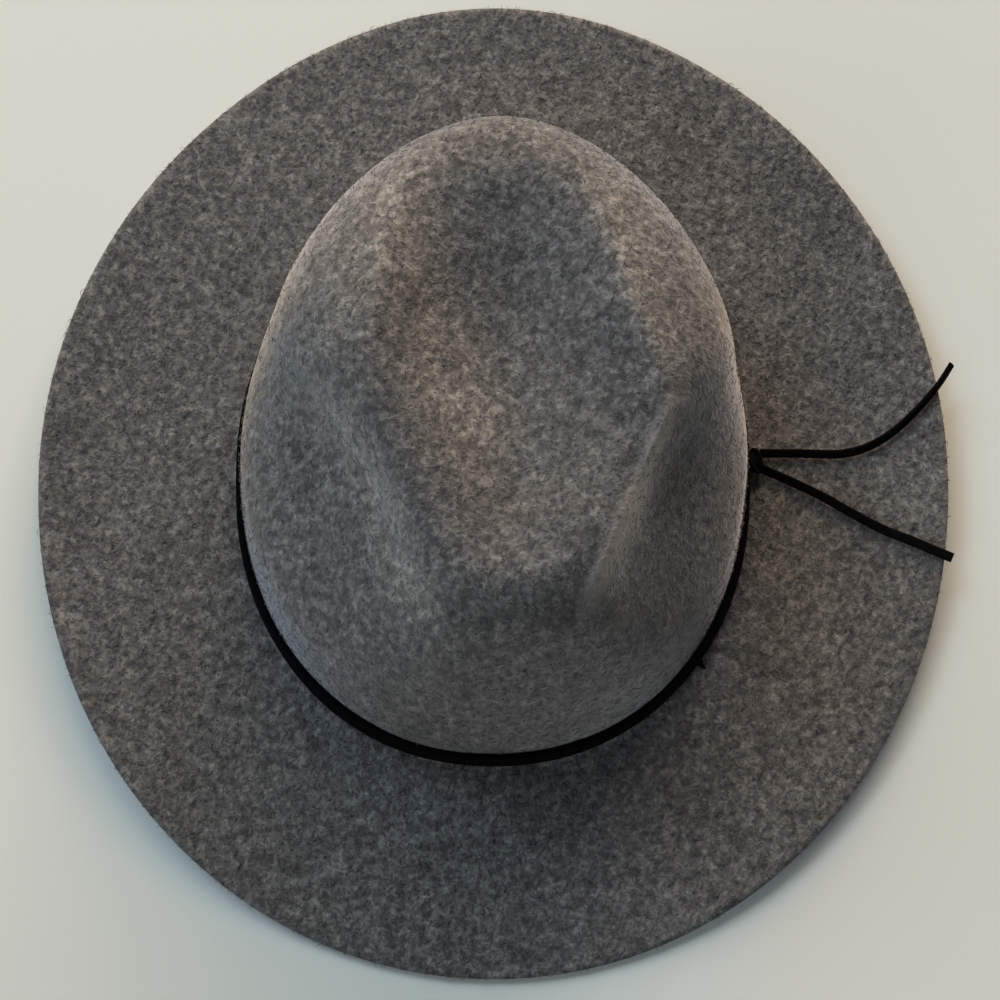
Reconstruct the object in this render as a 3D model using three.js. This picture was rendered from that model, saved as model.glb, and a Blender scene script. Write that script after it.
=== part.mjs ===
// A wide-brim felt fedora with a teardrop crease, two front pinches and a lace band.
// Millimetres, +Z up. The front of the hat looks along -Y, and the underside of the brim rests on z = 0.
import * as THREE from 'three';

// Felt wall and brim
const FELT = 2.4;                    // thickness of the felt everywhere
const BREAK_TOP = 5.0;               // top face of the brim where it meets the crown
const BREAK_FILLET = 4.0;            // soft round between the crown wall and the brim
const BRIM_SETTLED = 0.8;            // share of the brim's width past which its middle height is reached
const LIFT_POWER = 1.5;              // how late the sides of the brim turn up
const RISE_START = 0.25;             // |cos| of the bearing below which the brim lies flat
const EDGE_ROUND = 0.5;              // how far the cut edge bulges

// Block of the crown: one row for each level, from the brim to the top.
// halfWidth is along X, front and back are along Y, shift moves the level to the right.
const SECTIONS = [
  { height: 0, halfWidth: 86, front: 100, back: 100, frontPower: 2.15, backPower: 1.95, shift: 0 },
  { height: 12, halfWidth: 84.5, front: 97, back: 99.5, frontPower: 2.12, backPower: 1.94, shift: 0.1 },
  { height: 30, halfWidth: 82.3, front: 91.3, back: 99, frontPower: 2.08, backPower: 1.92, shift: 0.5 },
  { height: 50, halfWidth: 79.6, front: 84.2, back: 98.5, frontPower: 2.06, backPower: 1.89, shift: 1.2 },
  { height: 70, halfWidth: 76.6, front: 75.8, back: 97.4, frontPower: 2.05, backPower: 1.86, shift: 1.9 },
  { height: 86, halfWidth: 71.7, front: 66.5, back: 92.4, frontPower: 2.05, backPower: 1.84, shift: 2.4 },
  { height: 99, halfWidth: 61, front: 54, back: 80, frontPower: 2.03, backPower: 1.85, shift: 2.8 },
  { height: 107.5, halfWidth: 43, front: 38, back: 59, frontPower: 2, backPower: 1.9, shift: 2.8 },
  { height: 111.5, halfWidth: 22, front: 20, back: 32, frontPower: 2, backPower: 1.95, shift: 2.6 },
  { height: 112.5, halfWidth: 0, front: 0, back: 0, frontPower: 2, backPower: 2, shift: 2.5 },
];
const FRONT_RISE = 0.05;             // the top climbs towards the front by this slope

// Teardrop crease: one row every CREASE_STEP from its back end to its front lip.
// A curve of 2 gives a round hollow, and a lower one is nearer to a V with a sharper crest.
const CREASE_BACK = 88;
const CREASE_STEP = 16;
const CREASE = [
  { depth: 0, axis: 2, left: 18, right: 17, leftCurve: 2, rightCurve: 2 },
  { depth: 4.5, axis: 2, left: 26, right: 24, leftCurve: 2, rightCurve: 2 },
  { depth: 13, axis: 3, left: 33, right: 29, leftCurve: 2, rightCurve: 2 },
  { depth: 20, axis: 4, left: 37, right: 33, leftCurve: 2, rightCurve: 2 },
  { depth: 24, axis: 5, left: 40.5, right: 36.5, leftCurve: 2, rightCurve: 1.9 },
  { depth: 25, axis: 6.5, left: 43.5, right: 42, leftCurve: 1.9, rightCurve: 1.75 },
  { depth: 24.6, axis: 8, left: 42.5, right: 42, leftCurve: 1.8, rightCurve: 1.6 },
  { depth: 22.2, axis: 7.5, left: 35.5, right: 36.5, leftCurve: 1.7, rightCurve: 1.5 },
  { depth: 15, axis: 6, left: 29, right: 29.5, leftCurve: 1.7, rightCurve: 1.5 },
  { depth: 4.5, axis: 5, left: 23.5, right: 23.5, leftCurve: 1.8, rightCurve: 1.7 },
  { depth: 0, axis: 5, left: 20, right: 19, leftCurve: 2, rightCurve: 2 },
];
const CREASE_SHARPNESS = 1.3;        // how softly the hollow runs out at its crests
const CREASE_FADE = { low: 50, high: 92 };

// Front pinches: they squeeze the front of the crown from both sides, and reach farther back on the left
const PINCH = {
  squeeze: 0.43, y: -38, front: 38, backLeft: 48, backRight: 42, power: 2.6, low: 30, high: 84, shift: 5,
};
const PINCH_SIDES_BLEND = 25;        // half width over which the left reach passes into the right one

// A shallow hollow low in the left pinch, with its middle and its half sizes; it fades in above the foot
const LEFT_HOLLOW = { depth: 3.2, x: -55, y: -7, halfX: 10, halfY: 21, low: 20, high: 45 };

// Brim: one row every 45 degrees, from the right side round by the back.
const BRIM = [
  { width: 67.8, lift: 8.5 },
  { width: 66.8, lift: 8 },
  { width: 70.2, lift: 8 },
  { width: 65.6, lift: 8.5 },
  { width: 67.8, lift: 9.5 },
  { width: 67.8, lift: 9 },
  { width: 70.2, lift: 8 },
  { width: 68.4, lift: 7.5 },
];
const BRIM_ROW_ANGLE = Math.PI / 4;

// Lace: flat, wound twice round the foot of the crown and tied on the right side
const GAP = 0.3;                     // air between pieces that touch
const LACE_WIDTH = 3.3;
const LACE_THICK = 1.5;
const LACE_CHAMFER = 0.45;
const BAND = {
  lowTurn: 4.9,                      // middle of the first turn above the break
  highTurn: 8.6,                     // middle of the second turn
  start: 3,                          // bearings in degrees, counted clockwise seen from above
  turn: 719,
  climbStart: 318,
  climbEnd: 354,
  partingAt: 128,                    // the turns part a little at the front left
  parting: 0.7,
  partingSpread: 16,
};
const KNOT = { x: 90.6, y: 0.5, z: 9.3, halfX: 2.8, halfY: 4.3, halfZ: 3.5 };

// Routes of the two free ends over the brim, from the knot outwards
const TAIL_BACK_ROUTE = [
  [93.3, 3.9, 6.6], [97.2, 3.9, 6.7], [101.4, 3.9, 6.8], [106.0, 3.8, 7.0], [110.8, 3.6, 7.2],
  [115.4, 3.4, 7.4], [119.8, 3.7, 7.7], [124.0, 4.6, 8.0], [128.0, 6.0, 8.4], [131.7, 7.9, 8.9],
  [135.2, 10.2, 9.4], [138.5, 12.8, 9.9], [141.8, 15.8, 10.5], [145.0, 19.0, 11.1], [148.0, 22.3, 11.8],
  [151.0, 25.9, 12.4], [153.6, 29.6, 12.9], [156.0, 33.4, 13.3],
];
const TAIL_FRONT_ROUTE = [
  [93.1, -2.1, 6.6], [97.1, -4.0, 6.7], [101.4, -6.0, 6.8], [105.5, -8.0, 7.0], [109.6, -10.1, 7.1],
  [113.6, -12.3, 7.3], [117.5, -14.7, 7.5], [121.5, -17.1, 7.8], [125.5, -19.5, 8.2], [129.6, -21.8, 8.6],
  [133.8, -23.9, 9.1], [138.0, -25.7, 9.8], [142.2, -27.6, 10.5], [146.2, -29.6, 11.3], [150.0, -31.4, 12.0],
  [153.6, -33.1, 12.6],
];

// Fineness of the faceted solids
const COLUMNS = 76;                  // round the hat
const CROWN_ROWS = 18;
const FILLET_ROWS = 2;
const BRIM_ROWS = 6;
const BAND_STEPS = 120;
const TAIL_STEPS = 26;
const NORMAL_STEP = 1e-3;

const feltMaterial = new THREE.MeshStandardMaterial({
  name: 'felt', color: 0x5b5a5a, roughness: 0.95, metalness: 0,
});
const laceMaterial = new THREE.MeshStandardMaterial({
  name: 'lace', color: 0x0d0d0e, roughness: 0.85, metalness: 0,
});

function smooth(x, low, high) {
  const t = THREE.MathUtils.clamp((x - low) / (high - low), 0, 1);
  return t * t * (3 - 2 * t);
}

// Smooth blend of a table's rows at a fractional row number, column by column
function rowAt(table, place, isRing = false) {
  const last = table.length - 1;
  const wanted = isRing ? place : THREE.MathUtils.clamp(place, 0, last);
  const first = isRing ? Math.floor(wanted) : Math.min(Math.floor(wanted), last - 1);
  const row = (k) => table[isRing
    ? THREE.MathUtils.euclideanModulo(first + k, table.length)
    : THREE.MathUtils.clamp(first + k, 0, last)];
  const f = wanted - first;
  const blended = {};
  for (const column of Object.keys(table[0])) {
    const [a, b, c, d] = [row(-1)[column], row(0)[column], row(1)[column], row(2)[column]];
    blended[column] = b + 0.5 * f * (c - a + f * (2 * a - 5 * b + 4 * c - d + f * (3 * (b - c) + d - a)));
  }
  return blended;
}

// Egg-shaped outline of one level of the block
function oval(bearing, level) {
  const c = Math.cos(bearing);
  const s = Math.sin(bearing);
  const length = s < 0 ? level.front : level.back;
  const power = s < 0 ? level.frontPower : level.backPower;
  const k = (Math.abs(c) ** power + Math.abs(s) ** power) ** (-1 / power);
  return new THREE.Vector2(level.halfWidth * k * c, length * k * s);
}

// Outer face of the crown, with the crease and the pinches pressed in
function crownPoint(bearing, place) {
  const level = rowAt(SECTIONS, place);
  const rim = oval(bearing, level);
  const y = rim.y;
  let z = level.height - FRONT_RISE * y * level.height / 100;
  const toRight = smooth(rim.x, -PINCH_SIDES_BLEND, PINCH_SIDES_BLEND);
  const length = y > PINCH.y ? THREE.MathUtils.lerp(PINCH.backLeft, PINCH.backRight, toRight) : PINCH.front;
  const reach = Math.exp(-(Math.abs((y - PINCH.y) / length) ** PINCH.power));
  const dent = reach * smooth(z, PINCH.low, PINCH.high);
  const x = (rim.x + level.shift) * (1 - PINCH.squeeze * dent) + PINCH.shift * dent;
  const fold = rowAt(CREASE, (CREASE_BACK - y) / CREASE_STEP);
  const [side, curve] = x > fold.axis
    ? [(x - fold.axis) / fold.right, fold.rightCurve]
    : [(fold.axis - x) / fold.left, fold.leftCurve];
  const hollow = Math.max(1 - side ** curve, 0) ** CREASE_SHARPNESS;
  z -= fold.depth * hollow * smooth(z, CREASE_FADE.low, CREASE_FADE.high);
  const across = (x - LEFT_HOLLOW.x) / LEFT_HOLLOW.halfX;
  const along = (y - LEFT_HOLLOW.y) / LEFT_HOLLOW.halfY;
  z -= LEFT_HOLLOW.depth * Math.exp(-(across ** 2) - along ** 2) * smooth(z, LEFT_HOLLOW.low, LEFT_HOLLOW.high);
  return new THREE.Vector3(x, y, z + BREAK_TOP);
}

// Top face of the brim: t is 0 at the crown and 1 at the edge
function brimPoint(bearing, t) {
  const base = SECTIONS[0];
  const start = oval(bearing, base);
  const ahead = oval(bearing + NORMAL_STEP, base);
  const behind = oval(bearing - NORMAL_STEP, base);
  const outward = new THREE.Vector2(ahead.y - behind.y, behind.x - ahead.x).normalize();
  const row = rowAt(BRIM, bearing / BRIM_ROW_ANGLE, true);
  const lift = row.lift * smooth(Math.abs(Math.cos(bearing)), RISE_START, 1);
  const middle = FELT + (BREAK_TOP - FELT) * (1 - smooth(t, 0, BRIM_SETTLED));
  const spot = start.addScaledVector(outward, row.width * t);
  return new THREE.Vector3(spot.x, spot.y, middle + lift * t ** LIFT_POWER);
}

// Place of a height above the break in the lowest part of the block
function placeOfHeight(height) {
  return height / SECTIONS[1].height;
}

function breakPoint(bearing, t) {
  const wall = crownPoint(bearing, placeOfHeight(BREAK_FILLET));
  const corner = crownPoint(bearing, 0);
  const width = rowAt(BRIM, bearing / BRIM_ROW_ANGLE, true).width;
  const flat = brimPoint(bearing, BREAK_FILLET / width);
  return new THREE.QuadraticBezierCurve3(wall, corner, flat).getPoint(t);
}

function ring(pointAt) {
  return Array.from({ length: COLUMNS }, (_, i) => pointAt(2 * Math.PI * i / COLUMNS));
}

// Closed mesh through rings of equal length, with a fan to a tip at each end
function closedLoft(firstTip, rings, lastTip) {
  const around = rings[0].length;
  const positions = [firstTip, ...rings.flat(), lastTip].flatMap((p) => [p.x, p.y, p.z]);
  const lastIndex = positions.length / 3 - 1;
  const index = [];
  for (let i = 0; i < around; i += 1) {
    const j = (i + 1) % around;
    index.push(0, 1 + i, 1 + j);
    for (let r = 0; r < rings.length - 1; r += 1) {
      const here = 1 + r * around;
      const next = here + around;
      index.push(here + i, next + i, next + j, here + i, next + j, here + j);
    }
    const low = 1 + (rings.length - 1) * around;
    index.push(lastIndex, low + j, low + i);
  }
  const geometry = new THREE.BufferGeometry();
  geometry.setAttribute('position', new THREE.Float32BufferAttribute(positions, 3));
  geometry.setIndex(index);
  geometry.computeVertexNormals();
  return geometry;
}

// Outward normals of a grid of rings, by central differences
function gridNormal(rings, r, i) {
  const around = rings[r].length;
  const down = rings[Math.min(r + 1, rings.length - 1)][i].clone().sub(rings[Math.max(r - 1, 0)][i]);
  const along = rings[r][(i + 1) % around].clone().sub(rings[r][(i + around - 1) % around]);
  return down.cross(along).normalize();
}

function makeFeltBody() {
  const top = SECTIONS.length - 1;
  const foot = placeOfHeight(BREAK_FILLET);
  const outer = [];
  for (let r = 1; r <= CROWN_ROWS; r += 1) {
    const place = THREE.MathUtils.lerp(top, foot, r / CROWN_ROWS);
    outer.push(ring((bearing) => crownPoint(bearing, place)));
  }
  for (let r = 1; r <= FILLET_ROWS; r += 1) {
    outer.push(ring((bearing) => breakPoint(bearing, r / (FILLET_ROWS + 1))));
  }
  const crownRings = outer.length;
  for (let r = 0; r <= BRIM_ROWS; r += 1) {
    outer.push(ring((bearing) => {
      const start = BREAK_FILLET / rowAt(BRIM, bearing / BRIM_ROW_ANGLE, true).width;
      return brimPoint(bearing, THREE.MathUtils.lerp(start, 1, r / BRIM_ROWS));
    }));
  }
  // the inner face follows the outer one, a felt thickness inside it
  const inner = outer.map((points, r) => points.map((p, i) => {
    const inward = r < crownRings ? gridNormal(outer, r, i) : new THREE.Vector3(0, 0, 1);
    return p.clone().addScaledVector(inward, -FELT);
  }));
  const edge = [0.25, 0.75].map((share) => ring((bearing) => {
    const p = brimPoint(bearing, 1);
    const q = brimPoint(bearing, 1 - NORMAL_STEP);
    const outward = new THREE.Vector3(p.x - q.x, p.y - q.y, 0).normalize();
    return p.addScaledVector(outward, EDGE_ROUND).setZ(p.z - share * FELT);
  }));
  const crest = crownPoint(0, top);
  const ceiling = crest.clone().setZ(crest.z - FELT);
  return closedLoft(crest, [...outer, ...edge, ...inner.reverse()], ceiling);
}

// Section of the lace: a flat strip with its corners taken off
function laceShape(alongX, alongY) {
  const [x, y] = [alongX / 2, alongY / 2];
  const c = LACE_CHAMFER;
  return new THREE.Shape([
    new THREE.Vector2(x, y - c), new THREE.Vector2(x - c, y),
    new THREE.Vector2(c - x, y), new THREE.Vector2(-x, y - c),
    new THREE.Vector2(-x, c - y), new THREE.Vector2(c - x, -y),
    new THREE.Vector2(x - c, -y), new THREE.Vector2(x, c - y),
  ]);
}

// Lace along a nearly level path, with its stated height upright.
// The section's X follows the path's first normal, which may start level or upright.
function layLace(path, steps, height, depth) {
  const startsUpright = Math.abs(path.computeFrenetFrames(steps, false).normals[0].z) > Math.SQRT1_2;
  const section = startsUpright ? laceShape(height, depth) : laceShape(depth, height);
  return new THREE.ExtrudeGeometry(section, { steps, extrudePath: path, bevelEnabled: false });
}

// Middle line of the lace round the crown, from the knot by the front, the left side and the back
class BandPath extends THREE.Curve {
  getPoint(t, target = new THREE.Vector3()) {
    const turned = BAND.turn * t;
    const bearing = THREE.MathUtils.degToRad(BAND.start - turned);
    const climb = smooth(turned, BAND.climbStart, BAND.climbEnd);
    const secondTurn = turned > 360 ? turned - 360 : -Infinity;
    const parting = BAND.parting * Math.exp(-(((secondTurn - BAND.partingAt) / BAND.partingSpread) ** 2));
    const height = THREE.MathUtils.lerp(BAND.lowTurn, BAND.highTurn, climb) + parting;
    const wall = crownPoint(bearing, placeOfHeight(height - LACE_WIDTH / 2));
    const ahead = crownPoint(bearing + NORMAL_STEP, placeOfHeight(height));
    const behind = crownPoint(bearing - NORMAL_STEP, placeOfHeight(height));
    const outward = new THREE.Vector3(ahead.y - behind.y, behind.x - ahead.x, 0).normalize();
    target.copy(wall).setZ(BREAK_TOP + height);
    return target.addScaledVector(outward, GAP + LACE_THICK / 2);
  }
}

function makeBandLace() {
  return layLace(new BandPath(), BAND_STEPS, LACE_WIDTH, LACE_THICK);
}

function makeTail(route) {
  const path = new THREE.CatmullRomCurve3(route.map((p) => new THREE.Vector3(...p)));
  return layLace(path, TAIL_STEPS, LACE_THICK, LACE_WIDTH);
}

function makeKnot() {
  const lump = new THREE.SphereGeometry(1, 14, 10);
  lump.scale(KNOT.halfX, KNOT.halfY, KNOT.halfZ);
  return lump;
}

function addPiece(group, name, geometry, material) {
  const mesh = new THREE.Mesh(geometry, material);
  mesh.name = name;
  group.add(mesh);
  return mesh;
}

const hat = new THREE.Group();
addPiece(hat, 'felt_body', makeFeltBody(), feltMaterial);
addPiece(hat, 'band_lace', makeBandLace(), laceMaterial);
addPiece(hat, 'knot', makeKnot(), laceMaterial).position.set(KNOT.x, KNOT.y, KNOT.z);
addPiece(hat, 'tail_back', makeTail(TAIL_BACK_ROUTE), laceMaterial);
addPiece(hat, 'tail_front', makeTail(TAIL_FRONT_ROUTE), laceMaterial);

export default hat;
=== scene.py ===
"""A wide-brim hat of grey wool felt with a black suede lace tied round the crown, lying on a pale sheet.

The front of the hat looks along -Y and the lace is tied on the +X side. Blender's unit is the metre,
and the tables below are in millimetres.
"""
from math import cos, exp, floor, hypot, pi, radians, sin

import bmesh
import bpy
from mathutils import Matrix, Vector, noise


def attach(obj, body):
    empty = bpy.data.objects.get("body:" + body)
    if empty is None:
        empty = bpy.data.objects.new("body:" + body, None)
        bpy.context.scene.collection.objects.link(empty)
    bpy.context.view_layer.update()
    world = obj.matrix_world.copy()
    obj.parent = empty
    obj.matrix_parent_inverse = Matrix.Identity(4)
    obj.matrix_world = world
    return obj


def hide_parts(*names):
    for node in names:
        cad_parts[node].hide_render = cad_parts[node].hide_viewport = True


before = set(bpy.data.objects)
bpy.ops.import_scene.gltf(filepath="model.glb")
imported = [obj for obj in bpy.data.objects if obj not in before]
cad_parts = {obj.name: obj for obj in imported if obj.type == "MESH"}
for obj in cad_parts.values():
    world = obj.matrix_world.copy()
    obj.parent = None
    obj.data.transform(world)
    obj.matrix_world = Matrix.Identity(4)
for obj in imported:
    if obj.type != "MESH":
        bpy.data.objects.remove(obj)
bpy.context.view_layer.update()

MM = 0.001

# Camera: above the hat and a little in front of it, in degrees and metres; its lens and film in millimetres
CAMERA_ELEVATION = 78.0
CAMERA_DISTANCE = 0.650
CAMERA_PITCH = 0.94
CAMERA_YAW = -0.21
CAMERA_LENS = 68.04
CAMERA_FILM = 36.0

# Felt
FELT = 2.4              # thickness
BREAK_TOP = 5.0         # top face of the brim where it meets the crown
BREAK_FILLET = 4.0      # soft round between the crown wall and the brim
BRIM_SETTLED = 0.8      # share of the brim's width past which its middle height is reached
LIFT_POWER = 1.5        # how late the sides of the brim turn up
RISE_START = 0.25       # |cos| of the bearing below which the brim lies flat

# Level sections of the crown, from its foot to its top:
# height, half width, reach to the front and to the back, roundness of both halves, shift to the right
SECTIONS = (
    (0.0, 86.0, 100.0, 100.0, 2.15, 1.95, 0.0),
    (12.0, 84.5, 97.0, 99.5, 2.12, 1.94, 0.1),
    (30.0, 82.3, 91.3, 99.0, 2.08, 1.92, 0.5),
    (50.0, 79.6, 84.2, 98.5, 2.06, 1.89, 1.2),
    (70.0, 76.6, 75.8, 97.4, 2.05, 1.86, 1.9),
    (86.0, 71.7, 66.5, 92.4, 2.05, 1.84, 2.4),
    (99.0, 61.0, 54.0, 80.0, 2.03, 1.85, 2.8),
    (107.5, 43.0, 38.0, 59.0, 2.00, 1.90, 2.8),
    (111.5, 22.0, 20.0, 32.0, 2.00, 1.95, 2.6),
    (112.5, 0.0, 0.0, 0.0, 2.00, 2.00, 2.5),
)
FRONT_RISE = 0.05       # the top climbs towards the front by this slope

# The crease, a row every step from its back end to its front lip:
# depth, place of its axis, half width and curve to the left and to the right.
# A curve of 2 is a round hollow, and a lower one is nearer to a V with a sharper crest.
CREASE_BACK = 88.0
CREASE_STEP = 16.0
CREASE = (
    (0.0, 2.0, 18.0, 17.0, 2.0, 2.0),
    (4.5, 2.0, 26.0, 24.0, 2.0, 2.0),
    (13.0, 3.0, 33.0, 29.0, 2.0, 2.0),
    (20.0, 4.0, 37.0, 33.0, 2.0, 2.0),
    (24.0, 5.0, 40.5, 36.5, 2.0, 1.9),
    (25.0, 6.5, 43.5, 42.0, 1.9, 1.75),
    (24.6, 8.0, 42.5, 42.0, 1.8, 1.6),
    (22.2, 7.5, 35.5, 36.5, 1.7, 1.5),
    (15.0, 6.0, 29.0, 29.5, 1.7, 1.5),
    (4.5, 5.0, 23.5, 23.5, 1.8, 1.7),
    (0.0, 5.0, 20.0, 19.0, 2.0, 2.0),
)
CREASE_SHARPNESS = 1.3  # how softly the hollow runs out at its crests
CREASE_LOW, CREASE_HIGH = 50.0, 92.0

# The two pinches: each presses the crown in by a share of its half width, most of all at PINCH_Y.
# They reach as far to the front, and the left one reaches farther to the back
PINCH = 0.43
PINCH_Y = -38.0
PINCH_FRONT, PINCH_BACK_LEFT, PINCH_BACK_RIGHT = 38.0, 48.0, 42.0
PINCH_SIDES_BLEND = 25.0
PINCH_POWER = 2.6
PINCH_LOW, PINCH_HIGH = 30.0, 84.0
PINCH_SHIFT = 5.0

# A shallow hollow low in the left pinch: depth, its middle and its half sizes
LEFT_HOLLOW = (3.2, -55.0, -7.0, 10.0, 21.0)
LEFT_HOLLOW_LOW, LEFT_HOLLOW_HIGH = 20.0, 45.0

# The sharp fold along the crest of the right pinch: its line over the crown from the back to the front,
# how many legs of the line it takes to rise and where it starts to run out, its height and half width
RIGHT_FOLD = ((62, 4), (51, -5), (44, -22), (36, -41), (31, -52), (25, -66))
RIGHT_FOLD_RISEN, RIGHT_FOLD_SINKS = 1.5, 4.0
RIGHT_FOLD_HEIGHT = 2.2
RIGHT_FOLD_WIDTH = 2.5
RIGHT_FOLD_LOW, RIGHT_FOLD_HIGH = 40.0, 60.0

# Painted highlight along the crest of the fold, and streaks of painted warm light and painted shade on the
# crown, from one height to another.
# A line with a share below 0 is a streak of painted shade
FOLD_HIGHLIGHT_LOW, FOLD_HIGHLIGHT_HIGH = 50.0, 65.0
FOLD_HIGHLIGHT_SHARE = 0.9
FOLD_HIGHLIGHT_COLOUR = (0.33, 0.303, 0.268, 1)
PAINTED_LIGHT_LOW, PAINTED_LIGHT_HIGH = 38.0, 53.0
PAINTED_LIGHT_AND_SHADE_LINES = (
    # share, half width, points from the back to the front
    (0.36, 11.0, ((-28, 65), (-24, 38), (-15, 12), (-8, -8))),
    (0.33, 8.0, ((-30, 52), (-40, 31), (-46, 15))),
    (0.38, 6.5, ((-47, -2), (-42, -15), (-31, -42), (-23, -58))),
    (0.36, 8.0, ((33, 60), (40, 40), (47, 20), (50, 5))),
    (-0.26, 9.0, ((60, -7), (58, -24), (53, -41), (46, -56))),
)
# Warm tint of the painted light; a line with a share below 0 darkens as painted shade
PAINTED_LIGHT_TINT = (1.05, 0.93, 0.74)

# Width and lift of the brim every 45 degrees, from the right side round by the back
BRIM = (
    (67.8, 8.5), (66.4, 8.0), (68.9, 8.0), (64.7, 8.5),
    (67.1, 9.5), (67.3, 9.0), (70.2, 8.0), (67.6, 7.5),
)

# Felt's unevenness: height and closeness of its slow waves and of its fine ones
WAVES, RIPPLES = (0.35, 0.022), (0.16, 0.07)

# Lace
LACE_WIDTH = 3.3
LACE_THICK = 1.4
LACE_CORNERS = 16
LACE_SQUARENESS = 0.42

# Its two turns round the crown: heights, thickness over the front and how soon it is reached (sine of the
# bearing), how much its width and its gap to the felt vary, bearing of the start and whole turn,
# the part of the turn in which it climbs, and how far and where the upper turn stands off the lower one
BAND_LOW, BAND_HIGH = 4.9, 8.1
BAND_THICK_FRONT, BAND_FRONT = 2.4, 0.45
BAND_UNEVEN, BAND_SLACK = 0.1, 0.12
BAND_START, BAND_TURN = 3.0, 719.0
BAND_CLIMB = (318.0, 354.0)
BAND_PARTING, BAND_PARTING_AT, BAND_PARTING_SPREAD = 0.9, 128.0, 16.0

# The knot: its middle, the half sizes of its pressed heart, the reach of its lobes in depth, along the brim
# and in height, and the width and thickness of its lace
KNOT_CENTRE = (88.9, 0.6, 9.0)
KNOT_HEART = (2.9, 3.7, 3.0)
KNOT_LOBES = (1.25, 1.18, 0.92)
KNOT_LACE = (2.7, 1.3)

# The short pointed stub that stands out of the turns at the front right: its bearing, its length,
# the radii of its foot and tip, how deep it sits in the lace, its slope down, its twist and its flatness
STUB_BEARING = -41.0
STUB_LENGTH = 4.2
STUB_FOOT, STUB_TIP = 2.2, 0.4
STUB_SUNK = 0.4
STUB_DROP = 0.1
STUB_TWIST = -6.0
STUB_FLATNESS = 0.8

# The two free ends: how far each starts inside the knot, how deep its edge may sink into the nap,
# how much its width varies, and the middle of the lace from the knot to the cut end
TAIL_IN_KNOT = 2.4
TAIL_SINKS = 0.75
TAIL_UNEVEN = 0.12
TAIL_BACK_ROUTE = (
    (93.3, 3.9, 6.6), (97.2, 3.9, 6.7), (101.4, 3.9, 6.8), (106.0, 3.8, 7.0), (110.8, 3.6, 7.2),
    (115.4, 3.4, 7.4), (119.8, 3.7, 7.7), (124.0, 4.6, 8.0), (128.0, 6.0, 8.4), (131.7, 7.9, 8.9),
    (135.2, 10.2, 9.4), (138.5, 12.8, 9.9), (141.8, 15.8, 10.5), (145.0, 19.0, 11.1),
    (148.0, 22.3, 11.8), (151.0, 25.9, 12.4), (153.6, 29.6, 12.9), (156.0, 33.4, 13.3),
)
TAIL_FRONT_ROUTE = (
    (93.1, -2.1, 6.6), (97.1, -4.0, 6.7), (101.4, -6.0, 6.8), (105.5, -8.0, 7.0), (109.6, -10.1, 7.1),
    (113.6, -12.3, 7.3), (117.5, -14.7, 7.5), (121.5, -17.1, 7.8), (125.5, -19.5, 8.2),
    (129.6, -21.8, 8.6), (133.8, -23.9, 9.1), (138.0, -25.7, 9.8), (142.2, -27.6, 10.5),
    (146.2, -29.6, 11.3), (150.0, -31.4, 12.0), (153.6, -33.1, 12.6),
)

LACE_ENDS = (
    # piece, solid that it replaces, route, roll at the knot and at the tip, width at both
    ("lace_end_back", "tail_back", TAIL_BACK_ROUTE, (22, 62), (3.0, 2.9)),
    ("lace_end_front", "tail_front", TAIL_FRONT_ROUTE, (24, 6), (3.0, 3.3)),
)

# Wool hairs: size of one, lowest and highest tilt out of the felt in degrees, how much their size varies,
# and the share of them that is left on a wall
HAIR_LENGTH = 2.9
HAIR_THICK = 0.24
HAIR_BEND = 0.8
HAIR_TILT = (-4, 30)
HAIR_SMALLEST, HAIR_LARGEST = (0.5, 0.7, 0.7), (1.4, 1.3, 1.3)
WALL_HAIRS = 0.35
BRIM_HAIRS, CROWN_HAIRS = 0.75e6, 0.5e6     # hairs on a square metre
# The crown's hairs run lighter than the brim's: painted light, for the crown catching more light than the brim
BRIM_SHADES, CROWN_SHADES_LIGHTENED = (0.0, 0.95), (0.15, 1.1)    # from the darkest hair to the lightest

# Wool seen from afar: three greys, share of the drawn hairs and of the slow blotches, closeness of the hairs,
# and how far the pattern is drawn out along the walls
WOOL = (
    ("Dark", (0.045, 0.046, 0.049, 1)), ("Middle", (0.102, 0.099, 0.093, 1)),
    ("Light", (0.21, 0.199, 0.18, 1)), ("Hairs", 0.53), ("Blotches", 0.08), ("Hair scale", 300.0),
)
PATTERN_STRETCH = (1.0, 1.0, 0.42)

# Darkest and lightest colour of the single hairs and of the suede, and the sheet under the hat
HAIR_COLOURS = (0.078, 0.079, 0.081, 1), (0.17, 0.162, 0.149, 1)
LACE_COLOURS = (0.0007, 0.0008, 0.0009, 1), (0.0036, 0.0038, 0.004, 1)
SHEET_COLOUR = (0.62, 0.64, 0.585, 1)
SHEET_HALF = 3.0

# The window and the room, as square lamps round the hat, in metres:
# bearing and elevation in degrees, power in watts, colour
LIGHTS = (
    ("back_window", 90, 18, 67.3, (1.0, 0.47, 0.0)),
    ("back_middle", 90, 42, 56.5, (1.0, 0.97, 0.80)),
    ("back_right", 70, 18, 145.0, (1.0, 0.83, 0.79)),
    ("left_back", 135, 42, 87.7, (0.61, 0.79, 1.0)),
    ("front_left_low", 225, 18, 30.8, (1.0, 0.98, 0.84)),
    ("front_left_high", 225, 42, 30.3, (0.61, 0.75, 1.0)),
)
LIGHT_DISTANCE = 4.0
LIGHT_SIZE = 2.0
LIGHT_AIM = 0.05
ROOM_LIGHT = 0.05

# Fineness
COLUMNS, NAP_COLUMNS = 220, 110
CROWN_ROWS, NAP_CROWN_ROWS = 100, 50
FILLET_ROWS, NAP_FILLET_ROWS = 6, 2
BRIM_ROWS, NAP_BRIM_ROWS = 30, 12
TAIL_STEPS, BAND_STEPS, KNOT_STEPS = 90, 300, 96
STEP = 1e-3             # small turn that gives the direction of a curve, in radians


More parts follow.
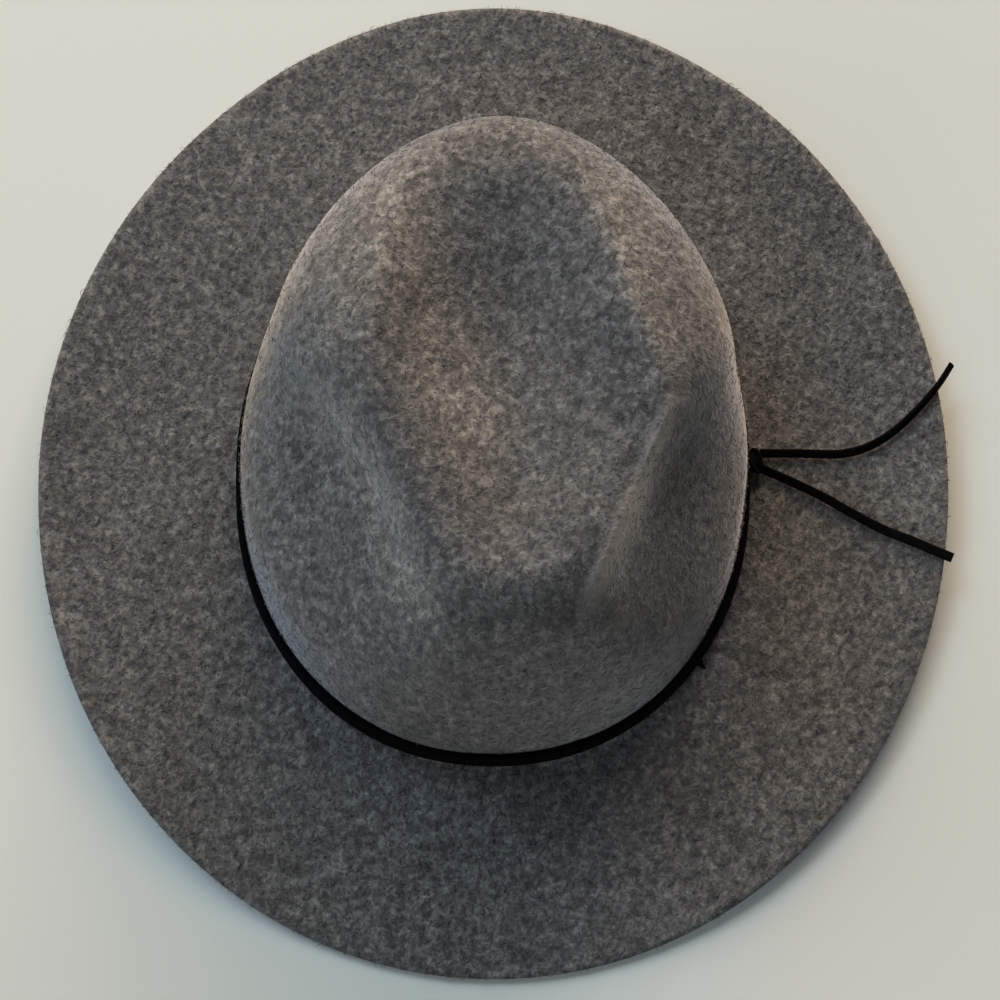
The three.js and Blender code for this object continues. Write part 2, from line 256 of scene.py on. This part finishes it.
def in_order(bm):
    """The same shape with its edges and faces sorted by their points.

    Blender numbers what it extrudes in another order each time it starts, and the hairs of the nap are
    strewn by those numbers.
    """
    bm.verts.index_update()
    count = len(bm.verts)

    def by_points(part):
        ends = sorted(v.index for v in part.verts)
        return (ends[0] * count + ends[-1]) * count + ends[1]

    bm.edges.sort(key=by_points)
    bm.faces.sort(key=by_points)
    ordered = bm.copy()
    bm.free()
    return ordered


def new_object(name, bm, material):
    """A smooth-shaded piece of one material from a finished bmesh."""
    mesh = bpy.data.meshes.new(name)
    bm = in_order(bm)
    bmesh.ops.recalc_face_normals(bm, faces=bm.faces)
    for face in bm.faces:
        face.smooth = True
    bm.to_mesh(mesh)
    bm.free()
    mesh.materials.append(material)
    made = bpy.data.objects.new(name, mesh)
    bpy.context.scene.collection.objects.link(made)
    return made


def smooth(x, low, high):
    """Soft step from 0 at low to 1 at high."""
    t = min(max((x - low) / (high - low), 0.0), 1.0)
    return t * t * (3 - 2 * t)


def row_at(table, place, is_ring=False):
    """Smooth blend of a table's rows at a fractional row number, column by column."""
    count = len(table)
    if is_ring:
        first = floor(place)
        rows = [table[(first + k) % count] for k in (-1, 0, 1, 2)]
    else:
        place = min(max(place, 0.0), count - 1.0)
        first = min(int(place), count - 2)
        rows = [table[min(max(first + k, 0), count - 1)] for k in (-1, 0, 1, 2)]
    f = place - first
    return [
        b + 0.5 * f * (c - a + f * (2 * a - 5 * b + 4 * c - d + f * (3 * (b - c) + d - a)))
        for a, b, c, d in zip(*rows)
    ]


# Shape of the felt

def oval(bearing, half_width, front, back, front_power, back_power):
    """Point of an oval whose front and back halves differ in reach and in roundness."""
    c, s = cos(bearing), sin(bearing)
    length, power = (front, front_power) if s < 0 else (back, back_power)
    k = (abs(c) ** power + abs(s) ** power) ** (-1 / power)
    return half_width * k * c, length * k * s


def beside(line, x, y):
    """How far a point lies from a line of points, and at which of them, counted from 0."""
    spot = Vector((x, y))
    best, place = 1e6, 0.0
    for k, (a, b) in enumerate(zip(line, line[1:])):
        start, leg = Vector(a), Vector(b) - Vector(a)
        share = min(max((spot - start).dot(leg) / leg.length_squared, 0), 1)
        away = (spot - start - leg * share).length
        if away < best:
            best, place = away, k + share
    return best, place


def right_fold(x, y):
    """Share of the fold's full height over a point: it runs out softly at both ends of its line."""
    away, place = beside(RIGHT_FOLD, x, y)
    last = len(RIGHT_FOLD) - 1
    ends = smooth(place, 0, RIGHT_FOLD_RISEN) * (1 - smooth(place, RIGHT_FOLD_SINKS, last))
    return ends * exp(-((away / RIGHT_FOLD_WIDTH) ** 2))


def crown_point(bearing, place):
    """Outer face of the crown, with the crease and the pinches pressed in."""
    height, half_width, front, back, front_power, back_power, shift = row_at(SECTIONS, place)
    x, y = oval(bearing, half_width, front, back, front_power, back_power)
    z = height - FRONT_RISE * y * height / 100
    to_right = smooth(x, -PINCH_SIDES_BLEND, PINCH_SIDES_BLEND)
    back = PINCH_BACK_LEFT + (PINCH_BACK_RIGHT - PINCH_BACK_LEFT) * to_right
    reach = (y - PINCH_Y) / (back if y > PINCH_Y else PINCH_FRONT)
    dent = exp(-abs(reach) ** PINCH_POWER) * smooth(z, PINCH_LOW, PINCH_HIGH)
    x = (x + shift) * (1 - PINCH * dent) + PINCH_SHIFT * dent
    depth, axis, left, right, left_curve, right_curve = row_at(CREASE, (CREASE_BACK - y) / CREASE_STEP)
    side, curve = (axis - x) / left, left_curve
    if x > axis:
        side, curve = (x - axis) / right, right_curve
    hollow = max(1 - side ** curve, 0.0) ** CREASE_SHARPNESS
    z -= depth * hollow * smooth(z, CREASE_LOW, CREASE_HIGH)
    deep, middle_x, middle_y, half_x, half_y = LEFT_HOLLOW
    near = exp(-((x - middle_x) / half_x) ** 2 - ((y - middle_y) / half_y) ** 2)
    z -= deep * near * smooth(z, LEFT_HOLLOW_LOW, LEFT_HOLLOW_HIGH)
    z += RIGHT_FOLD_HEIGHT * right_fold(x, y) * smooth(z, RIGHT_FOLD_LOW, RIGHT_FOLD_HIGH)
    return Vector((x, y, z + BREAK_TOP))


def brim_width(bearing):
    return row_at(BRIM, bearing / radians(45), is_ring=True)[0]


def brim_point(bearing, t):
    """Top face of the brim: t is 0 at the crown and 1 at the edge."""
    base = SECTIONS[0][1:6]
    x, y = oval(bearing, *base)
    ahead, behind = oval(bearing + STEP, *base), oval(bearing - STEP, *base)
    nx, ny = ahead[1] - behind[1], behind[0] - ahead[0]
    size = hypot(nx, ny)
    width, lift = row_at(BRIM, bearing / radians(45), is_ring=True)
    lift *= smooth(abs(cos(bearing)), RISE_START, 1)
    z = FELT + (BREAK_TOP - FELT) * (1 - smooth(t, 0, BRIM_SETTLED)) + lift * t ** LIFT_POWER
    return Vector((x + nx / size * width * t, y + ny / size * width * t, z))


def place_of_height(height):
    return height / SECTIONS[1][0]


def break_point(bearing, t):
    """Soft round between the crown wall, where t is 0, and the brim, where t is 1."""
    wall = crown_point(bearing, place_of_height(BREAK_FILLET))
    corner = crown_point(bearing, 0)
    flat = brim_point(bearing, BREAK_FILLET / brim_width(bearing))
    return wall * (1 - t) ** 2 + corner * 2 * t * (1 - t) + flat * t * t


def brim_rows(rows):
    """Rows of the brim from its edge to the break, each a function of the bearing."""
    def row(share):
        def at(bearing):
            start = BREAK_FILLET / brim_width(bearing)
            return brim_point(bearing, start + (1 - start) * share)
        return at
    return [row(1 - r / rows) for r in range(rows + 1)]


def fillet_rows(rows):
    """Rows of the soft round from the brim up to the crown."""
    return [lambda bearing, t=t / (rows + 1): break_point(bearing, t) for t in range(rows, 0, -1)]


def crown_rows(rows):
    """Rows of the crown from the break to just under its top."""
    foot, top = place_of_height(BREAK_FILLET), len(SECTIONS) - 1
    return [lambda bearing, p=foot + (top - foot) * r / rows: crown_point(bearing, p) for r in range(rows)]


def uneven(p):
    """Pressed felt is never quite true: slow waves and a fine unevenness, in millimetres."""
    (wave, wave_scale), (ripple, ripple_scale) = WAVES, RIPPLES
    return wave * noise.noise(p * wave_scale) + ripple * noise.noise(p * ripple_scale + Vector((5, 9, 2)))


def grow_ring(bm, edges):
    """Extrudes a ring of edges once: the new ring's points and its edges."""
    grown = bmesh.ops.extrude_edge_only(bm, edges=edges)["geom"]
    ring = [g for g in grown if isinstance(g, bmesh.types.BMVert)]
    fresh = set(ring)
    return ring, [g for g in grown if isinstance(g, bmesh.types.BMEdge) and set(g.verts) <= fresh]


def grow_skin(rows, tip=None, columns=COLUMNS):
    """A skin grown row by row from a circle of edges, closed at the tip if there is one."""
    bm = bmesh.new()
    column = bm.verts.layers.int.new("column")
    ring = bmesh.ops.create_circle(bm, segments=columns, radius=0.1)["verts"]
    for i, v in enumerate(ring):
        v[column] = i
    edges = list(bm.edges)
    for r, row in enumerate(rows):
        if r:
            ring, edges = grow_ring(bm, edges)
        for v in ring:
            v.co = row(2 * pi * v[column] / columns) * MM
    if tip is not None:
        ring, edges = grow_ring(bm, edges)
        bmesh.ops.pointmerge(bm, verts=ring, merge_co=tip * MM)
    bm = in_order(bm)
    bmesh.ops.recalc_face_normals(bm, faces=bm.faces)
    bm.normal_update()
    if sum(f.normal.z for f in bm.faces) < 0:
        bmesh.ops.reverse_faces(bm, faces=bm.faces)
        bm.normal_update()
    for v, n in [(v, v.normal.copy()) for v in bm.verts]:
        v.co += n * uneven(v.co / MM) * MM
    return bm


# Wool hairs

def hair_mesh():
    """One bent wool hair: two slim cones set base to base, its middle pushed aside."""
    bm = bmesh.new()
    half = HAIR_LENGTH / 2 * MM
    along = Matrix.Rotation(radians(90), 4, "Y") @ Matrix.Translation((0, 0, half / 2))
    for turn in (0, 180):
        bmesh.ops.create_cone(
            bm, cap_ends=False, segments=3, radius1=HAIR_THICK / 2 * MM, radius2=0, depth=half,
            matrix=Matrix.Rotation(radians(turn), 4, "Z") @ along,
        )
    bmesh.ops.remove_doubles(bm, verts=bm.verts, dist=1e-6)
    for v in bm.verts:
        if abs(v.co.x) < half / 2:
            v.co.y += HAIR_BEND * MM
    return bm


def nap_tree(hair, density, shades, seed):
    """Scatters hairs over a skin, each lying on it in its own direction, and keeps a shade on each."""
    tree = bpy.data.node_groups.new("nap", "GeometryNodeTree")
    tree.interface.new_socket("Geometry", in_out="INPUT", socket_type="NodeSocketGeometry")
    tree.interface.new_socket("Geometry", in_out="OUTPUT", socket_type="NodeSocketGeometry")
    skin = node(tree, "NodeGroupInput").outputs["Geometry"]
    facing = node(tree, "GeometryNodeInputNormal").outputs[0]
    upright = node(tree, "ShaderNodeSeparateXYZ", {0: facing}).outputs[2]
    worn = maths(tree, "MULTIPLY", maths(tree, "MAXIMUM", upright, WALL_HAIRS), density)
    spots = node(tree, "GeometryNodeDistributePointsOnFaces", {"Mesh": skin, "Density": worn, "Seed": seed})
    low, high = (-radians(a) for a in HAIR_TILT)
    turn = node(
        tree, "FunctionNodeRandomValue", {0: (-pi, high, -pi), 1: (pi, low, pi), "Seed": seed + 1},
        data_type="FLOAT_VECTOR",
    ).outputs[0]
    turn = node(tree, "FunctionNodeEulerToRotation", {0: turn}).outputs[0]
    turn = node(
        tree, "FunctionNodeRotateRotation", {0: spots.outputs["Rotation"], 1: turn}, rotation_space="LOCAL",
    ).outputs[0]
    size = node(
        tree, "FunctionNodeRandomValue", {0: HAIR_SMALLEST, 1: HAIR_LARGEST, "Seed": seed + 2},
        data_type="FLOAT_VECTOR",
    ).outputs[0]
    one = node(tree, "GeometryNodeObjectInfo", {"Object": hair}).outputs["Geometry"]
    many = node(
        tree, "GeometryNodeInstanceOnPoints",
        {"Points": spots.outputs["Points"], "Instance": one, "Rotation": turn, "Scale": size},
    ).outputs[0]
    darkest, lightest = shades
    shade = node(
        tree, "FunctionNodeRandomValue", {2: darkest, 3: lightest, "Seed": seed + 3}, data_type="FLOAT",
    ).outputs[1]
    many = node(
        tree, "GeometryNodeStoreNamedAttribute", {"Geometry": many, "Name": "shade", "Value": shade},
        data_type="FLOAT", domain="INSTANCE",
    ).outputs[0]
    many = node(tree, "GeometryNodeRealizeInstances", {"Geometry": many}).outputs[0]
    node(tree, "NodeGroupOutput", {"Geometry": many})
    return tree


def nap_piece(name, hair, skin, density, shades, seed):
    """The hairs of one part of the skin as one mesh. The skin itself isn't kept."""
    base = new_object(name + "_skin", skin, hair.data.materials[0])
    scatter = base.modifiers.new("nap", "NODES")
    scatter.node_group = nap_tree(hair, density, shades, seed)
    ready = base.evaluated_get(bpy.context.evaluated_depsgraph_get())
    mesh = bpy.data.meshes.new_from_object(ready)
    mesh.name = name
    bpy.data.objects.remove(base)
    piece = bpy.data.objects.new(name, mesh)
    bpy.context.scene.collection.objects.link(piece)
    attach(piece, "root")
    return piece


def half_of(bm, direction):
    """Keeps the half of a skin that lies in that direction."""
    away = [f for f in bm.faces if f.calc_center_median().dot(Vector(direction)) < 0]
    bmesh.ops.delete(bm, geom=away, context="FACES")
    return bm


# Shape of the lace

def lace_corner(corner, width, thick):
    """One corner of the lace's section, a strip with rounded edges."""
    a = 2 * pi * (corner + 0.5) / LACE_CORNERS
    c, s = cos(a), sin(a)
    return (
        width / 2 * (1 if c > 0 else -1) * abs(c) ** LACE_SQUARENESS,
        thick / 2 * (1 if s > 0 else -1) * abs(s) ** LACE_SQUARENESS,
    )


def sweep_lace(stations, closed=False):
    """A flat lace through stations: middle, direction of its width, of its thickness, width, thickness."""
    bm = bmesh.new()
    corner = bm.verts.layers.int.new("corner")
    ring = bmesh.ops.create_circle(bm, segments=LACE_CORNERS, radius=0.001)["verts"]
    for i, v in enumerate(ring):
        v[corner] = i
    edges = list(bm.edges)
    for k, (middle, across, out, width, thick) in enumerate(stations):
        if k:
            ring, edges = grow_ring(bm, edges)
        for v in ring:
            a, b = lace_corner(v[corner], width, thick)
            v.co = (middle + across * a + out * b) * MM
    if closed:
        bmesh.ops.remove_doubles(bm, verts=bm.verts, dist=1e-6)
    else:
        bmesh.ops.holes_fill(bm, edges=bm.edges, sides=0)
    return bm


def route_point(route, t):
    """A point of a smooth curve through the route's points, t from 0 to 1."""
    return Vector(row_at(route, t * (len(route) - 1)))


def tail_stations(route, rolls, widths, steps=TAIL_STEPS):
    """Stations of a free lace end. It turns from one roll to the other, and it never cuts into the brim."""
    stations = []
    for k in range(-2, steps + 1):
        t = max(k, 0) / steps
        here, ahead, behind = (route_point(route, min(max(t + d, 0), 1)) for d in (0, 0.01, -0.01))
        along = (ahead - behind).normalized()
        if k < 0:
            here = here + along * TAIL_IN_KNOT * k / 2
        level = along.cross(Vector((0, 0, 1))).normalized()
        roll = radians(rolls[0] + (rolls[1] - rolls[0]) * smooth(t, 0.1, 1))
        across = Matrix.Rotation(roll, 3, along) @ level
        out = across.cross(along).normalized()
        width = widths[0] + (widths[1] - widths[0]) * t
        width += TAIL_UNEVEN * noise.noise(here * 0.25)
        reach = abs(across.z) * width / 2 + abs(out.z) * LACE_THICK / 2
        lift = max(reach - TAIL_SINKS, 0)
        stations.append((here + Vector((0, 0, lift)), across, out, width, LACE_THICK))
    return stations


def band_thickness(bearing):
    """The lace lies flat at the sides and the back, and is bunched up over the front."""
    return LACE_THICK + (BAND_THICK_FRONT - LACE_THICK) * smooth(-sin(bearing), 0, BAND_FRONT)


def band_stations(steps=BAND_STEPS):
    """Two turns round the foot of the crown, flat against the wall, the second above the first."""
    stations = []
    for k in range(steps + 1):
        turned = BAND_TURN * k / steps
        bearing = radians(BAND_START - turned)
        height = BAND_LOW + (BAND_HIGH - BAND_LOW) * smooth(turned, *BAND_CLIMB)
        if turned > 360:
            height += BAND_PARTING * exp(-(((turned - 360 - BAND_PARTING_AT) / BAND_PARTING_SPREAD) ** 2))
        wall = crown_point(bearing, place_of_height(height))
        along = crown_point(bearing - STEP, place_of_height(height)) - wall
        up = crown_point(bearing, place_of_height(height + 0.1)) - wall
        along.normalize()
        out = up.cross(along).normalized()
        if out.x * cos(bearing) + out.y * sin(bearing) < 0:
            out.negate()
        across = along.cross(out).normalized()
        width = LACE_WIDTH + BAND_UNEVEN * noise.noise(wall * 0.08)
        slack = BAND_SLACK + BAND_SLACK * (1 + noise.noise(wall * 0.05 + Vector((3, 1, turned * 0.01))))
        thick = band_thickness(bearing)
        stations.append((wall + out * (thick / 2 + slack), across, out, width, thick))
    return stations


def knot_stations(steps=KNOT_STEPS):
    """A tight three-lobed knot of flat lace, its face turned to the side of the hat."""
    centre = Vector(KNOT_CENTRE)
    deep, wide, high = KNOT_LOBES

    def middle(t):
        return centre + Vector((
            -deep * sin(3 * t),
            wide * (sin(t) + 2 * sin(2 * t)),
            high * (cos(t) - 2 * cos(2 * t)),
        ))

    stations = []
    for k in range(steps + 1):
        t = 2 * pi * (k % steps) / steps
        along = (middle(t + 0.01) - middle(t - 0.01)).normalized()
        out = Vector((1, 0, 0))
        out = (out - along * out.dot(along)).normalized()
        across = along.cross(out).normalized()
        stations.append((middle(t), across, out, *KNOT_LACE))
    return stations


def knot_body():
    """The knot with the lace pressed together in its middle."""
    bm = sweep_lace(knot_stations(), closed=True)
    heart = Matrix.Translation(Vector(KNOT_CENTRE) * MM) @ Matrix.Diagonal((*KNOT_HEART, 1))
    bmesh.ops.create_icosphere(bm, subdivisions=2, radius=MM, matrix=heart)
    return bm


def wrap_body():
    """The two turns, and the short stub of lace that stands out from them at the front right."""
    bm = sweep_lace(band_stations())
    bearing = radians(STUB_BEARING)
    foot = crown_point(bearing, place_of_height(BAND_HIGH))
    out = Vector((cos(bearing), sin(bearing), -STUB_DROP)).normalized()
    size = MM * STUB_LENGTH
    stub = Matrix.Translation(foot * MM + out * (band_thickness(bearing) * MM + size / 2 - STUB_SUNK * MM))
    stub = stub @ Matrix.Rotation(radians(STUB_TWIST), 4, "Z")
    stub = stub @ out.to_track_quat("Z", "Y").to_matrix().to_4x4()
    bmesh.ops.create_cone(
        bm, cap_ends=True, segments=10, radius1=STUB_FOOT * MM, radius2=STUB_TIP * MM, depth=size,
        matrix=stub @ Matrix.Diagonal((STUB_FLATNESS, 1.0, 1.0, 1.0)),
    )
    return bm


# Materials

def node(tree, kind, inputs=None, **settings):
    """A new node with its settings, its inputs set from values or from other nodes' outputs."""
    made = tree.nodes.new(kind)
    for name, value in settings.items():
        setattr(made, name, value)
    for name, value in (inputs or {}).items():
        socket = made.inputs[name]
        if isinstance(value, bpy.types.NodeSocket):
            tree.links.new(value, socket)
        else:
            socket.default_value = value
    return made


def maths(tree, operation, a, b=0.0):
    return node(tree, "ShaderNodeMath", {0: a, 1: b}, operation=operation).outputs[0]


def mixed(tree, share, a, b, blend="MIX"):
    made = node(tree, "ShaderNodeMix", {0: share, 6: a, 7: b}, data_type="RGBA", blend_type=blend)
    return made.outputs[2]


def spread(tree, value, low, high, to_low=0.0, to_high=1.0):
    made = node(
        tree, "ShaderNodeMapRange",
        {"Value": value, "From Min": low, "From Max": high, "To Min": to_low, "To Max": to_high},
        interpolation_type="SMOOTHSTEP",
    )
    return made.outputs[0]


def heather_group():
    """Mottled wool: curled light and dark hairs over a fine grain and soft blotches."""
    tree = bpy.data.node_groups.new("heather", "ShaderNodeTree")
    for name, kind in (
        ("Dark", "NodeSocketColor"), ("Middle", "NodeSocketColor"), ("Light", "NodeSocketColor"),
        ("Hairs", "NodeSocketFloat"), ("Blotches", "NodeSocketFloat"), ("Hair scale", "NodeSocketFloat"),
    ):
        tree.interface.new_socket(name, in_out="INPUT", socket_type=kind)
    tree.interface.new_socket("Color", in_out="OUTPUT", socket_type="NodeSocketColor")
    tree.interface.new_socket("Height", in_out="OUTPUT", socket_type="NodeSocketFloat")
    given = node(tree, "NodeGroupInput").outputs
    place = node(tree, "ShaderNodeTexCoord").outputs["Object"]
    place = node(tree, "ShaderNodeVectorMath", {0: place, 1: PATTERN_STRETCH}, operation="MULTIPLY").outputs[0]

    def cloud(scale, detail, offset, distortion=0.0):
        moved = node(tree, "ShaderNodeVectorMath", {0: place, 1: offset}, operation="ADD").outputs[0]
        return node(
            tree, "ShaderNodeTexNoise",
            {"Vector": moved, "Scale": scale, "Detail": detail, "Roughness": 0.6, "Distortion": distortion},
        ).outputs["Fac"]

    def hairs(offset, thin):
        """Short curled lines: the level lines of a noise, broken up by another one."""
        line = cloud(given["Hair scale"], 1.0, offset, 0.6)
        away = maths(tree, "ABSOLUTE", maths(tree, "SUBTRACT", line, 0.5))
        line = spread(tree, away, 0.0, thin, 1.0, 0.0)
        finer = maths(tree, "MULTIPLY", given["Hair scale"], 1.3)
        gaps = cloud(finer, 0.0, (offset[1], offset[2], offset[0]))
        return maths(tree, "MULTIPLY", line, spread(tree, gaps, 0.42, 0.6))

    light = maths(tree, "MAXIMUM", hairs((0.31, 0.12, 0.57), 0.09), hairs((0.83, 0.29, 0.44), 0.09))
    dark = maths(tree, "MAXIMUM", hairs((0.62, 0.95, 0.21), 0.11), hairs((0.17, 0.73, 0.39), 0.11))
    grain = cloud(700.0, 1.0, (0.4, 0.2, 0.6))
    blotch = cloud(55.0, 3.0, (0.7, 0.3, 0.1))
    tufts = cloud(330.0, 1.0, (0.2, 0.6, 0.9))
    clumps = cloud(150.0, 1.0, (0.9, 0.5, 0.3))

    colour = mixed(tree, maths(tree, "MULTIPLY", dark, given["Hairs"]), given["Middle"], given["Dark"])
    colour = mixed(tree, maths(tree, "MULTIPLY", light, given["Hairs"]), colour, given["Light"])
    shade = spread(tree, grain, 0.3, 0.7, 0.86, 1.14)
    shade = maths(tree, "MULTIPLY", shade, spread(tree, tufts, 0.3, 0.7, 0.7, 1.3))
    shade = maths(tree, "MULTIPLY", shade, spread(tree, clumps, 0.3, 0.7, 0.91, 1.09))
    slow = spread(tree, blotch, 0.3, 0.7, -1.0, 1.0)
    slow = maths(tree, "ADD", 1.0, maths(tree, "MULTIPLY", slow, given["Blotches"]))
    shade = maths(tree, "MULTIPLY", shade, slow)
    grey = node(tree, "ShaderNodeCombineColor", {0: shade, 1: shade, 2: shade}).outputs[0]
    colour = mixed(tree, 1.0, colour, grey, "MULTIPLY")
    height = maths(tree, "ADD", maths(tree, "SUBTRACT", light, dark), maths(tree, "ADD", grain, tufts))
    node(tree, "NodeGroupOutput", {"Color": colour, "Height": height})
    return tree


def paint_light_and_shade(felt):
    """Keeps on each point of the felt its share of the painted highlight on the fold and of the painted warm
    light and shade streaks.
    """
    painted_fold_highlight = felt.data.attributes.new("painted_fold_highlight", "FLOAT", "POINT")
    painted_light_and_shade = felt.data.attributes.new("painted_light_and_shade", "FLOAT", "POINT")
    for v, highlight_value, painted_value in zip(felt.data.vertices, painted_fold_highlight.data, painted_light_and_shade.data):
        x, y, z = v.co / MM
        if z < PAINTED_LIGHT_LOW:
            continue
        # painted highlight along the crest of the fold
        highlight_value.value = right_fold(x, y) * smooth(z, FOLD_HIGHLIGHT_LOW, FOLD_HIGHLIGHT_HIGH)
        # streaks of painted warm light, and of painted shade where the share is below 0
        painted_sum = 0.0
        for share, half_width, line in PAINTED_LIGHT_AND_SHADE_LINES:
            painted_sum += share * exp(-((beside(line, x, y)[0] / half_width) ** 2))
        painted_value.value = painted_sum * smooth(z, PAINTED_LIGHT_LOW, PAINTED_LIGHT_HIGH)


def felt_material():
    material = bpy.data.materials.new("felt")
    material.use_nodes = True
    tree = material.node_tree
    shader = tree.nodes["Principled BSDF"]
    wool = node(tree, "ShaderNodeGroup", node_tree=heather_group())
    for name, value in WOOL:
        wool.inputs[name].default_value = value
    height = wool.outputs["Height"]
    bump = node(tree, "ShaderNodeBump", {"Height": height, "Strength": 0.25, "Distance": 0.0004})
    # Painted warm light and painted shade: the wool colour is tinted warmer and lighter, or darker, along the
    # streaks kept on the felt
    painted_light_and_shade = node(tree, "ShaderNodeAttribute", attribute_name="painted_light_and_shade").outputs["Fac"]
    lift = node(tree, "ShaderNodeVectorMath", {0: PAINTED_LIGHT_TINT, "Scale": painted_light_and_shade}, operation="SCALE").outputs[0]
    lift = node(tree, "ShaderNodeVectorMath", {0: lift, 1: (1.0, 1.0, 1.0)}, operation="ADD").outputs[0]
    colour = mixed(tree, 1.0, wool.outputs["Color"], lift, "MULTIPLY")
    # Painted highlight: a lighter, warmer colour along the crest of the fold
    painted_fold_highlight = node(tree, "ShaderNodeAttribute", attribute_name="painted_fold_highlight").outputs["Fac"]
    colour = mixed(tree, maths(tree, "MULTIPLY", painted_fold_highlight, FOLD_HIGHLIGHT_SHARE), colour, FOLD_HIGHLIGHT_COLOUR)
    tree.links.new(colour, shader.inputs["Base Color"])
    tree.links.new(bump.outputs[0], shader.inputs["Normal"])
    shader.inputs["Roughness"].default_value = 0.95
    shader.inputs["Specular IOR Level"].default_value = 0.15
    shader.inputs["Sheen Weight"].default_value = 0.55
    shader.inputs["Sheen Roughness"].default_value = 0.4
    return material


def lace_material():
    material = bpy.data.materials.new("suede_lace")
    material.use_nodes = True
    tree = material.node_tree
    shader = tree.nodes["Principled BSDF"]
    place = node(tree, "ShaderNodeTexCoord").outputs["Object"]
    nap = node(tree, "ShaderNodeTexNoise", {"Vector": place, "Scale": 2400.0, "Detail": 3.0}).outputs["Fac"]
    worn = node(tree, "ShaderNodeTexNoise", {"Vector": place, "Scale": 300.0, "Detail": 2.0}).outputs["Fac"]
    both = maths(tree, "MULTIPLY", spread(tree, nap, 0.3, 0.7), spread(tree, worn, 0.3, 0.75, 0.3, 1.0))
    colour = mixed(tree, both, *LACE_COLOURS)
    bump = node(tree, "ShaderNodeBump", {"Height": nap, "Strength": 0.5, "Distance": 0.0002})
    tree.links.new(colour, shader.inputs["Base Color"])
    tree.links.new(bump.outputs[0], shader.inputs["Normal"])
    shader.inputs["Roughness"].default_value = 0.9
    shader.inputs["Specular IOR Level"].default_value = 0.05
    return material


def hair_material():
    """Wool hairs of several greys, by the shade kept on each of them."""
    material = bpy.data.materials.new("wool_hair")
    material.use_nodes = True
    tree = material.node_tree
    shader = tree.nodes["Principled BSDF"]
    shade = node(tree, "ShaderNodeAttribute", attribute_name="shade").outputs["Fac"]
    colour = mixed(tree, spread(tree, shade, 0.25, 1.0), *HAIR_COLOURS)
    tree.links.new(colour, shader.inputs["Base Color"])
    shader.inputs["Roughness"].default_value = 0.9
    shader.inputs["Specular IOR Level"].default_value = 0.15
    return material


def sheet_material():
    material = bpy.data.materials.new("pale_sheet")
    material.use_nodes = True
    shader = material.node_tree.nodes["Principled BSDF"]
    shader.inputs["Base Color"].default_value = SHEET_COLOUR
    shader.inputs["Roughness"].default_value = 0.95
    shader.inputs["Specular IOR Level"].default_value = 0.1
    return material


# Camera

scene = bpy.context.scene
camera_data = bpy.data.cameras.new("photo_camera")
camera_data.sensor_width = CAMERA_FILM
camera_data.lens = CAMERA_LENS
camera = bpy.data.objects.new("photo_camera", camera_data)
scene.collection.objects.link(camera)
elevation = radians(CAMERA_ELEVATION)
camera_spot = Vector((0, -cos(elevation), sin(elevation))) * CAMERA_DISTANCE
camera_turn = Matrix.Rotation(radians(90 - CAMERA_ELEVATION - CAMERA_PITCH), 4, "X")
camera_turn = camera_turn @ Matrix.Rotation(radians(CAMERA_YAW), 4, "Y")
camera.matrix_world = Matrix.Translation(camera_spot) @ camera_turn
scene.camera = camera

# The two free ends of the lace

lace_look = lace_material()
for name, cad_node, route, rolls, widths in LACE_ENDS:
    piece = new_object(name, sweep_lace(tail_stations(route, rolls, widths)), lace_look)
    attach(piece, "root")
    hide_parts(cad_node)

# The lace round the crown and its knot

for name, cad_node, bm in (
    ("lace_wrap", "band_lace", wrap_body()),
    ("lace_knot", "knot", knot_body()),
):
    piece = new_object(name, bm, lace_look)
    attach(piece, "root")
    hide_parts(cad_node)

# The felt

felt_look = felt_material()
crown_top = crown_point(0, len(SECTIONS) - 1)
skin = grow_skin(brim_rows(BRIM_ROWS) + fillet_rows(FILLET_ROWS) + crown_rows(CROWN_ROWS), crown_top)
bmesh.ops.solidify(skin, geom=skin.faces[:], thickness=FELT * MM)
felt = new_object("felt_shell", skin, felt_look)
# the painted highlight and the painted warm light and shade are kept on the felt's points
paint_light_and_shade(felt)
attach(felt, "root")
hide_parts("felt_body")

hair = new_object("hair", hair_mesh(), hair_material())
brim_nap = brim_rows(NAP_BRIM_ROWS) + fillet_rows(NAP_FILLET_ROWS), None, BRIM_HAIRS, BRIM_SHADES
crown_nap = crown_rows(NAP_CROWN_ROWS), crown_top, CROWN_HAIRS, CROWN_SHADES_LIGHTENED
for name, (rows, tip, density, shades), direction, seed in (
    ("brim_nap_left", brim_nap, (-1, 0, 0), 11),
    ("brim_nap_right", brim_nap, (1, 0, 0), 21),
    ("crown_nap_front", crown_nap, (0, -1, 0), 31),
    ("crown_nap_back", crown_nap, (0, 1, 0), 41),
):
    half = half_of(grow_skin(rows, tip, NAP_COLUMNS), direction)
    nap_piece(name, hair, half, density, shades, seed)
bpy.data.objects.remove(hair)

# Sheet and light

bm = bmesh.new()
bmesh.ops.create_grid(bm, x_segments=4, y_segments=4, size=SHEET_HALF)
sheet = new_object("sheet", bm, sheet_material())

for name, bearing, height, power, colour in LIGHTS:
    data = bpy.data.lights.new(name, "AREA")
    data.size = LIGHT_SIZE
    data.energy = power
    data.color = colour
    lamp = bpy.data.objects.new(name, data)
    scene.collection.objects.link(lamp)
    a, e = radians(bearing), radians(height)
    away = Vector((cos(a) * cos(e), sin(a) * cos(e), sin(e)))
    lamp.location = away * LIGHT_DISTANCE + Vector((0, 0, LIGHT_AIM))
    lamp.rotation_euler = away.to_track_quat("Z", "Y").to_euler()

world = bpy.data.worlds.new("room")
scene.world = world
world.use_nodes = True
background = world.node_tree.nodes["Background"]
background.inputs["Color"].default_value = (1, 1, 1, 1)
background.inputs["Strength"].default_value = ROOM_LIGHT
scene.view_settings.view_transform = "Standard"
